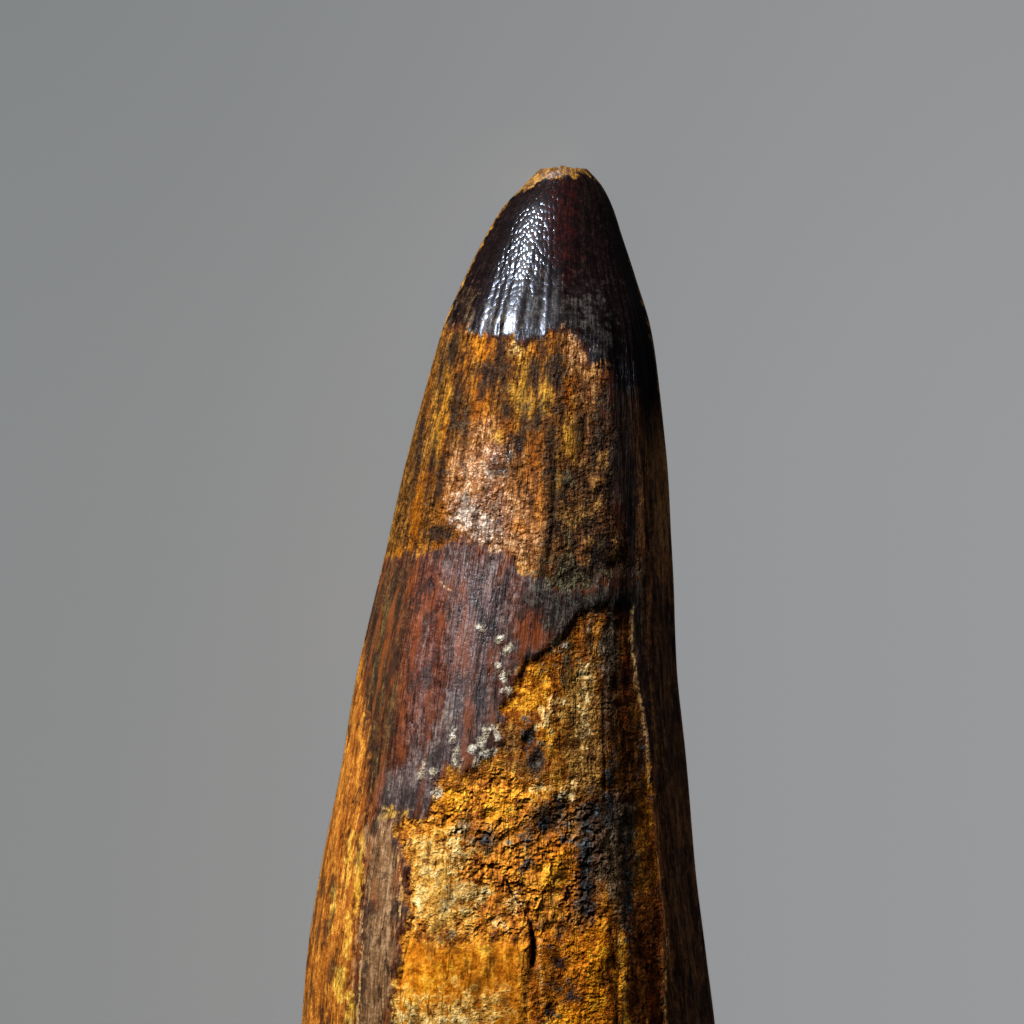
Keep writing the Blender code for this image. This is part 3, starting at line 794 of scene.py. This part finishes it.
# Streaks run down the tooth, and spots are as long as they are wide.
hairs = noise(stretched(13.0, 0.7), 1.0, detail=2.0, roughness=0.6)
dashes = noise(stretched(6.0, 1.8), 1.0, detail=3.0, roughness=0.6)
streak = noise(stretched(3.0, 0.4), 1.0, detail=3.0, roughness=0.62)
broad = noise(stretched(1.3, 0.22), 1.0, detail=2.0, roughness=0.6)
soot = noise(stretched(1.6, 0.7), 1.0, detail=4.0, roughness=0.65)
wash = noise(stretched(1.7, 0.4), 1.0, detail=3.0, roughness=0.55)
stria = noise(stretched(3.4, 0.45), 1.4, detail=1.0, roughness=0.5)
spots = noise(body_mm, 2.6, detail=4.0, roughness=0.65)
grains = noise(body_mm, 6.5, detail=3.0, roughness=0.62)
specks = noise(body_mm, 13.0, detail=2.0, roughness=0.6)

# The edge of the smooth wear near the tip is frayed along the streaks, most of all on its right.
depth_field = field("depth")
frayed = rise(depth_field, 17.3, 16.3, 0.3)
right_side = maths("MULTIPLY", rise(field("side"), -1.2, -0.2, 0.5), frayed)
frayed = maths("MULTIPLY_ADD", right_side, 3.0, frayed)
worn_edge = maths("MULTIPLY_ADD", streak, frayed, maths("MULTIPLY_ADD", spots, 0.18, field("worn")))
is_worn = rise(worn_edge, -0.10, 0.15)


def weighed(*pairs):
    """A sum of patterns, each times its weight."""
    total = 0.0
    for pattern, weight in pairs:
        total = maths("MULTIPLY_ADD", pattern, weight, total)
    return total


frays = weighed((streak, 0.55), (dashes, 0.5), (spots, 0.55))
PATTERNS = {"frays": frays, "dashes": dashes, "spots": spots}


def reach_of(name, ragged, soft, pattern, strength=1.0):
    """How far a stain covers each place. A pattern makes its edge ragged by this many millimetres."""
    return rise(maths("MULTIPLY_ADD", PATTERNS[pattern], ragged, field(name)), -soft, soft, strength)


def stained(tones, stains):
    """Lays stains over the three tones of a colour. A stain is its name, its tones, strength and edge."""
    for name, codes, strength, ragged, soft, pattern in stains:
        share = reach_of(name, ragged, soft, pattern, strength)
        tones = [mix(share, tone, code) for tone, code in zip(tones, codes.split())]
    return tones


def toned(tones, pattern):
    """One colour from three tones: dark where the pattern is low, light where it is high."""
    dark, plain, light = tones
    lower = add("ShaderNodeMapRange", {0: pattern, 1: -1.0, 2: 0.0})
    upper = add("ShaderNodeMapRange", {0: pattern, 1: 0.0, 2: 1.0})
    return mix(upper, mix(lower, dark, plain), light)


# Enamel and dentine, from the deepest stain up, with a painted grey sheen among the dentine stains and a
# partly painted sheen in the purple-grey enamel. The three tones are dark, plain and light.
ENAMEL_TONES = ("#1e0c06", "#4a2416", "#7c4830")
ENAMEL_STAINS_AND_PAINTED_SHEEN = (
    ("brown_side", "#181008 #3c291a #664a2e", 0.9, 0.8, 1.3, "frays"),
    ("red", "#2c0c04 #5a2410 #8c4a20", 0.8, 2.0, 0.6, "frays"),
    # Purple-grey enamel, its lighter grey partly a painted sheen.
    ("purple_stain_and_sheen", "#201410 #503832 #886c66", 0.85, 0.8, 0.8, "frays"),
    ("grey", "#1e1a1c #4c4140 #867a72", 0.85, 0.7, 0.5, "frays"),
    ("olive_side", "#180f06 #42321c #74592f", 0.8, 0.5, 0.3, "frays"),
    ("amber", "#54280a #a25e1c #e69e3c", 0.95, 0.6, 0.6, "frays"),
    ("gold_left", "#a06c1c #d09c30 #fcd068", 0.9, 0.35, 0.2, "spots"),
    ("strip", "#46301e #7a5838 #b08e6a", 0.95, 0.6, 0.35, "frays"),
    ("side", "#0e0a08 #302622 #645648", 0.95, 0.7, 0.6, "frays"),
    ("side_brown", "#301808 #6c3f1a #a46a30", 0.85, 0.7, 0.4, "frays"),
    ("right_rim", "#2c160a #6c3f1e #b0743a", 0.9, 0.8, 0.6, "frays"),
    ("upper_rim", "#4a2812 #a4682e #dca258", 0.85, 0.8, 0.5, "frays"),
    ("cap_flank", "#040202 #0e0706 #3a2618", 0.95, 2.0, 1.8, "frays"),
    ("cap", "#040203 #0c0708 #221818", 0.98, 0.4, 0.2, "frays"),
    ("brown_film", "#100a08 #281c14 #745634", 0.7, 0.8, 0.4, "spots"),
    ("glow", "#0c0202 #1e0604 #40120a", 0.7, 0.8, 0.4, "spots"),
    ("film", "#0e0c0e #282626 #5e5c56", 0.65, 1.6, 0.8, "spots"),
)
DENTINE_TONES = ("#542808", "#965814", "#dc9828")
DENTINE_STAINS_AND_PAINTED_SHEEN = (
    ("upper_wear", "#1a0e06 #683c10 #b87c28", 0.97, 0.4, 0.5, "frays"),
    ("left_wear", "#1c1208 #5e3c16 #96682a", 0.7, 0.6, 0.4, "frays"),
    ("left_orange", "#482406 #783e04 #a8640c", 0.85, 0.5, 0.25, "frays"),
    ("left_yellow", "#80540c #a8701c #d09a38", 0.75, 0.4, 0.2, "frays"),
    ("right_wear", "#1a100a #583820 #a8743e", 0.9, 0.8, 0.7, "frays"),
    ("pink", "#4a2812 #945e32 #deb080", 0.85, 0.5, 0.5, "spots"),
    # Painted sheen, laid on as whitish grey.
    ("painted_grey_sheen", "#4a3c30 #a08e7c #f0e4d8", 0.65, 0.7, 0.4, "spots"),
    ("upper_orange", "#542806 #904c08 #c88018", 0.8, 0.5, 0.25, "frays"),
    ("shade_right", "#080402 #22140a #603a1a", 0.9, 1.1, 0.9, "frays"),
    ("low_right", "#34160a #703a14 #a8621e", 0.95, 0.5, 0.3, "frays"),
    ("upper_yellow", "#7c5014 #b07a24 #e0a83c", 0.8, 0.35, 0.2, "frays"),
    ("below_edge", "#562604 #965008 #e49420", 0.85, 0.5, 0.3, "spots"),
    ("olive", "#2a1c10 #805824 #cc9c4c", 0.9, 0.6, 0.3, "frays"),
    ("right2", "#180a04 #583010 #985e18", 0.95, 0.6, 0.35, "frays"),
    ("granular", "#50260a #c2721e #fcb43c", 0.85, 0.5, 0.4, "spots"),
    ("low_orange", "#8c4808 #d07c18 #f8aa34", 0.95, 0.3, 0.2, "frays"),
    ("spotted", "#6c340a #c87010 #f8a024", 0.9, 0.5, 0.3, "spots"),
    ("gold", "#a4560a #f09414 #ffc838", 0.9, 0.4, 0.25, "frays"),
    ("yellow", "#98560e #d88c18 #fcc040", 0.8, 0.5, 0.25, "spots"),
    ("cream_zone", "#744c1c #c8943e #f8d47c", 0.85, 1.2, 0.6, "spots"),
    ("rust", "#2c0a02 #682404 #a04c10", 0.85, 0.25, 0.14, "spots"),
    ("dark", "#080606 #1c1612 #443628", 0.9, 0.35, 0.2, "spots"),
    ("tan", "#4e3014 #8a5c2a #c4924c", 0.6, 0.4, 0.14, "spots"),
    ("edge_dark", "#080504 #1a120c #3c2c1c", 0.9, 0.4, 0.2, "frays"),
    ("green", "#161510 #383222 #767054", 0.85, 0.5, 0.25, "spots"),
    ("slate", "#12100e #3a2e22 #80705a", 0.9, 0.6, 0.4, "frays"),
    ("blue", "#07080a #181b1e #4c565c", 0.92, 0.4, 0.2, "spots"),
    ("cream", "#947030 #dcb468 #fce0a4", 0.75, 0.5, 0.2, "spots"),
)
enamel_tone = weighed(
    (hairs, 0.55), (grains, 0.45), (specks, 0.3), (streak, 0.55), (dashes, 0.2), (spots, 0.5))
enamel = toned(stained([colour(code) for code in ENAMEL_TONES], ENAMEL_STAINS_AND_PAINTED_SHEEN), enamel_tone)
dentine_tone = weighed(
    (dashes, 0.55), (streak, 0.55), (broad, 0.3), (grains, 0.55), (specks, 0.35), (spots, 0.9))
dentine = toned(stained([colour(code) for code in DENTINE_TONES], DENTINE_STAINS_AND_PAINTED_SHEEN), dentine_tone)

# Bare dentine has dark pits, darkened in colour as painted shade in the hollows, painted glints and soot.
# Broad red-brown bands and soot lie over the enamel.
pits = add("ShaderNodeTexVoronoi", {"Vector": body_mm, "Scale": 2.4, "Randomness": 1.0}, output="Distance")
pit = rise(maths("SUBTRACT", rise(spots, 0.0, 1.2, 0.3), pits), -0.02, 0.08)
# Painted shade: the pits are darkened in colour as well as sunk in the relief.
dentine = mix(maths("MULTIPLY", pit, 0.75), dentine, "#241409")
# Painted glints: near-white specks mixed into the dentine colour.
glint = rise(weighed((grains, 0.7), (specks, 0.7)), 0.5, 0.8)
glint = maths("MULTIPLY", glint, reach_of("glint", 0.8, 0.5, "spots", 0.7))
dentine = mix(glint, dentine, "#fff0dc")
dentine = mix(rise(soot, 0.1, 0.6, 0.6), dentine, "#2c1c0e")
below_cap = rise(depth_field, 8.0, 12.0, 0.8)
off_side = maths("MULTIPLY", below_cap, rise(field("side"), 0.3, -0.6))
enamel = mix(maths("MULTIPLY", rise(wash, 0.0, 0.6, 0.75), off_side), enamel, "#7a3c16")
enamel = mix(maths("MULTIPLY", rise(soot, 0.0, 0.5, 0.9), below_cap), enamel, "#201a18")
surface_colour = mix(is_worn, enamel, dentine)

# Thin dark lines run down both. A dark band, the keels (worn, and partly painted rim light), crusts and the
# worn tip lie over them, and the broken enamel has a thin pale edge, which is a painted highlight.
groove = maths("MULTIPLY", rise(maths("ABSOLUTE", stria), 0.13, 0.02), rise(broad, -0.5, 0.2))
surface_colour = mix(maths("MULTIPLY", groove, 0.75), surface_colour, "#120a06")
LAID_OVER = (
    ("dark_band", "#0a0909 #24201e #5a5448", 0.9, 0.5, 0.3),
    # The keel band is partly wear and partly painted rim light.
    ("keel_and_rim_light", "#5e380c #98621a #cc963a", 0.8, 0.4, 0.2),
    ("crust", "#5a5248 #b4a688 #fffae8", 0.9, 0.2, 0.12),
    ("tip_wear", "#1c1006 #604014 #b0803a", 0.95, 0.25, 0.08),
)
for name, codes, strength, ragged, soft in LAID_OVER:
    laid = toned([colour(code) for code in codes.split()], dentine_tone)
    surface_colour = mix(reach_of(name, ragged, soft, "spots", strength), surface_colour, laid)
# Painted highlight: a pale line along the broken enamel edges and crack walls, where a steep wall faces the
# light.
pale = rise(maths("MULTIPLY_ADD", grains, 0.10, field("painted_edge_highlight")), 0.07, 0.0, 0.6)
surface_colour = mix(pale, surface_colour, "#d8ac68")

# The root is dull and porous, and the break shows dentine round a cavity filled with pale sediment.
rootstock = mix(rise(soot, -0.6, 0.9), "#7a5426", "#b08a52")
rootstock = mix(rise(streak, 0.2, 1.0, 0.5), rootstock, "#4a2e14")
surface_colour = mix(rise(field("root"), -0.05, 0.12), surface_colour, rootstock)
broken = mix(rise(spots, -0.6, 0.8), "#5e3f20", "#a67a40")
surface_colour = mix(rise(field("break_face"), 0.4, 0.8), surface_colour, broken)
sediment = mix(rise(spots, -0.8, 0.8), "#a88a5c", "#cdb68c")
surface_colour = mix(rise(field("cavity"), 0.05, 0.5), surface_colour, sediment)
# Painted shade: the cracks are darkened in colour as well as cut into the surface.
deep_crack_painted_shade = rise(maths("MULTIPLY_ADD", spots, 0.3, field("crack")), 0.8, 0.3, 0.92)
fine_crack_painted_shade = rise(maths("MULTIPLY_ADD", spots, 0.06, field("fine_crack")), 0.12, 0.0, 0.6)
surface_colour = mix(maths("MAXIMUM", deep_crack_painted_shade, fine_crack_painted_shade), surface_colour, "#140a06")

# Fine relief in millimetres: beaded wrinkles near the tip, striae below, and granules on bare dentine. A bead
# is about 0.18 mm wide and 0.37 mm long.
BEADS_PER_MM = (5.6, 2.7, 5.6)
bead_place = add("ShaderNodeVectorMath", {0: body_mm, 1: BEADS_PER_MM}, operation="MULTIPLY")
bead_cells = {"Vector": bead_place, "Scale": 1.0, "Randomness": 0.7}
bead = add("ShaderNodeTexVoronoi", bead_cells, output="Distance")
near_tip = rise(depth_field, 9.0, 6.0)
beads = maths("MULTIPLY", maths("MULTIPLY", bead, bead), maths("MULTIPLY_ADD", spots, -0.012, -0.026))
beads = maths("MULTIPLY", beads, number_between(rise(depth_field, 3.5, 6.0), 1.0, 0.4))
enamel_relief = weighed((hairs, 0.009), (dashes, 0.006), (grains, 0.006), (streak, 0.02), (groove, -0.015))
enamel_relief = number_between(near_tip, enamel_relief, weighed((beads, 1.0), (grains, 0.001)))
granules = noise(body_mm, 4.0, detail=2.0, roughness=0.65)
folds = maths("ABSOLUTE", noise(body_mm, 1.0, detail=3.0, roughness=0.6))
dentine_relief = weighed((granules, 0.04), (dashes, 0.02), (specks, 0.008), (pit, -0.06), (groove, -0.015))
lumpy = maths("MULTIPLY_ADD", reach_of("granular", 0.5, 0.5, "spots"), -0.24, -0.05)
dentine_relief = maths("MULTIPLY_ADD", folds, lumpy, dentine_relief)
streaky = weighed((streak, 0.03))
dentine_relief = number_between(reach_of("low_orange", 0.3, 0.4, "spots", 0.7), dentine_relief, streaky)
smoother = weighed((spots, 0.07), (granules, 0.015))
dentine_relief = number_between(reach_of("cream_zone", 0.5, 0.4, "spots", 0.8), dentine_relief, smoother)
relief = number_between(is_worn, enamel_relief, dentine_relief)
relief = maths("ADD", relief, rise(maths("MULTIPLY_ADD", grains, 0.2, field("crust")), -0.1, 0.15, 0.05))
normal = add("ShaderNodeBump", {"Strength": 1.0, "Distance": MM, "Height": relief})

# The enamel of the cap is glassy. The rest is duller, with a sheen on the purple enamel and glints beside it.
ENAMEL_ROUGHNESS = 0.40
CAP_ROUGHNESS = (0.16, 0.24)
DENTINE_ROUGHNESS = 0.42
ENAMEL_SHINE = 0.10
CAP_SHINE = (0.50, 0.22)
DENTINE_SHINE = 0.04
COAT = 0.13
COAT_ROUGHNESS = 0.32
is_cap = reach_of("cap", 0.2, 0.15, "dashes")
dull = maths("MAXIMUM", rise(field("root"), -0.05, 0.12), rise(field("tip_wear"), -0.1, 0.1))
cap_roughness = number_between(rise(depth_field, 3.5, 6.5), *CAP_ROUGHNESS)
enamel_roughness = number_between(is_cap, ENAMEL_ROUGHNESS, cap_roughness)
dentine_roughness = maths("MULTIPLY_ADD", spots, 0.08, DENTINE_ROUGHNESS)
roughness = number_between(is_worn, enamel_roughness, dentine_roughness)
roughness = maths("MULTIPLY_ADD", dull, 0.25, roughness)
cap_shine = number_between(rise(depth_field, 4.5, 6.5), *CAP_SHINE)
enamel_shine = maths("ADD", ENAMEL_SHINE, reach_of("purple_stain_and_sheen", 0.5, 0.5, "spots", 0.3))
enamel_shine = number_between(is_cap, enamel_shine, cap_shine)
dentine_shine = maths("ADD", DENTINE_SHINE, reach_of("glint", 0.5, 0.4, "spots", 0.2))
shine = number_between(is_worn, enamel_shine, dentine_shine)
# A thin coat over the cap gives the soft haze under its bead glints.
haze = maths("MULTIPLY", is_cap, maths("SUBTRACT", 1.0, is_worn))
shader = add("ShaderNodeBsdfPrincipled", {
    "Base Color": surface_colour,
    "Roughness": roughness,
    "IOR": 1.5,
    "Specular IOR Level": shine,
    "Specular Tint": mix(is_cap, "#f0f4ff", "#ccdeff"),
    "Normal": normal,
    "Coat Weight": maths("MULTIPLY", haze, COAT),
    "Coat Roughness": COAT_ROUGHNESS,
})
tree.links.new(shader, tree.nodes.new("ShaderNodeOutputMaterial").inputs["Surface"])
skin.materials.append(fossil)
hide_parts("tooth")
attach(tooth, "root")


# The surface, the light and the camera.
# A wide sheet of pale grey paper lies under the tooth; its colour is painted lighter to the right and darker
# towards the tip, a painted fall-off of light. Two soft boxes stand to the left, low beyond the tip: one gives
# the light and shade, and a narrower one gives the glints. The paper has a lamp of its own straight overhead,
# so that the tooth throws no shadow beside itself.
PAPER_SIZE = 3.0
# The paper's colours at the left and right: a painted fall-off of light, lighter to the right.
PAPER_LEFT = "#9a9d9e"
PAPER_RIGHT = "#adafb1"
KEY_WAY = (-0.50, 0.80, 0.33)
KEY_DISTANCE = 0.30
KEY_WIDTH = 0.05
KEY_POWER = 2.4
GLOSS_WAY = (-0.44, 0.81, 0.39)
GLOSS_WIDTH = 0.022
GLOSS_POWER = 2.5
BOX_LENGTH = 0.10
OVERHEAD_POWER = 2.25
OVERHEAD_ANGLE = 2.0
SKY = "#1c1c1d"
FRAME_MM = 40.96
FRAME_CENTRE_ACROSS = 0.16
FRAME_CENTRE_DEPTH = 13.84
CAMERA_HEIGHT = 0.60
SHARP_HEIGHT = 6.5
SENSOR_MM = 36.0

form = bmesh.new()
bmesh.ops.create_grid(form, x_segments=2, y_segments=2, size=PAPER_SIZE / 2)
sheet = bpy.data.meshes.new("paper_surface")
form.to_mesh(sheet)
form.free()
paper = bpy.data.objects.new("paper_surface", sheet)
bpy.context.scene.collection.objects.link(paper)
paper.visible_glossy = False
paper_material = bpy.data.materials.new("pale_grey_paper")
paper_material.use_nodes = True
tree = paper_material.node_tree
to_the_right = add("ShaderNodeSeparateXYZ", {0: add("ShaderNodeTexCoord", output="Object")}, output="X")
to_the_tip = add("ShaderNodeSeparateXYZ", {0: add("ShaderNodeTexCoord", output="Object")}, output="Y")
# Painted fall-off of light: the paper is lighter to the right and darker towards the tip.
paper_colour_with_painted_falloff = mix(rise(to_the_right, -0.022, 0.024), PAPER_LEFT, PAPER_RIGHT)
paper_colour_with_painted_falloff = shade(paper_colour_with_painted_falloff, number_between(rise(to_the_tip, 0.010, 0.034), 1.0, 0.93))
tree.links.new(paper_colour_with_painted_falloff, tree.nodes["Principled BSDF"].inputs["Base Color"])
tree.nodes["Principled BSDF"].inputs["Roughness"].default_value = 0.9
sheet.materials.append(paper_material)

target = Vector((FRAME_CENTRE_ACROSS - middle[0], -FRAME_CENTRE_DEPTH - middle[1], SHARP_HEIGHT)) * MM


def only_lights(light, thing):
    """The light reaches this thing alone."""
    group = bpy.data.collections.new(light.name + "_reaches")
    group.objects.link(thing)
    light.light_linking.receiver_collection = group


def add_light(name, kind, **settings):
    lamp = bpy.data.lights.new(name, kind)
    for setting, value in settings.items():
        setattr(lamp, setting, value)
    light = bpy.data.objects.new(name, lamp)
    bpy.context.scene.collection.objects.link(light)
    return light


for name, way, width, power in (("key_light", KEY_WAY, KEY_WIDTH, KEY_POWER),
                                ("gloss_light", GLOSS_WAY, GLOSS_WIDTH, GLOSS_POWER)):
    box = add_light(name, "AREA", shape="RECTANGLE", size=width, size_y=BOX_LENGTH, energy=power)
    way = Vector(way).normalized()
    box.location = target + way * KEY_DISTANCE
    box.rotation_mode = "QUATERNION"
    box.rotation_quaternion = way.to_track_quat("Z", "Y")
    box.visible_glossy = name == "gloss_light"
    box.visible_diffuse = name == "key_light"
    only_lights(box, tooth)
overhead = add_light("paper_light", "SUN", energy=OVERHEAD_POWER, angle=math.radians(OVERHEAD_ANGLE))
overhead.location = (0.0, 0.0, 0.3)
only_lights(overhead, paper)

world = bpy.data.worlds.new("studio")
world.use_nodes = True
world.node_tree.nodes["Background"].inputs["Color"].default_value = colour(SKY)
world.node_tree.nodes["Background"].inputs["Strength"].default_value = 1.0
bpy.context.scene.world = world
bpy.context.scene.view_settings.view_transform = "Standard"

lens = bpy.data.cameras.new("camera")
lens.sensor_width = SENSOR_MM
lens.lens = SENSOR_MM * (CAMERA_HEIGHT - target.z) / (FRAME_MM * MM)
camera = bpy.data.objects.new("camera", lens)
bpy.context.scene.collection.objects.link(camera)
camera.location = (target.x, target.y, CAMERA_HEIGHT)
bpy.context.scene.camera = camera
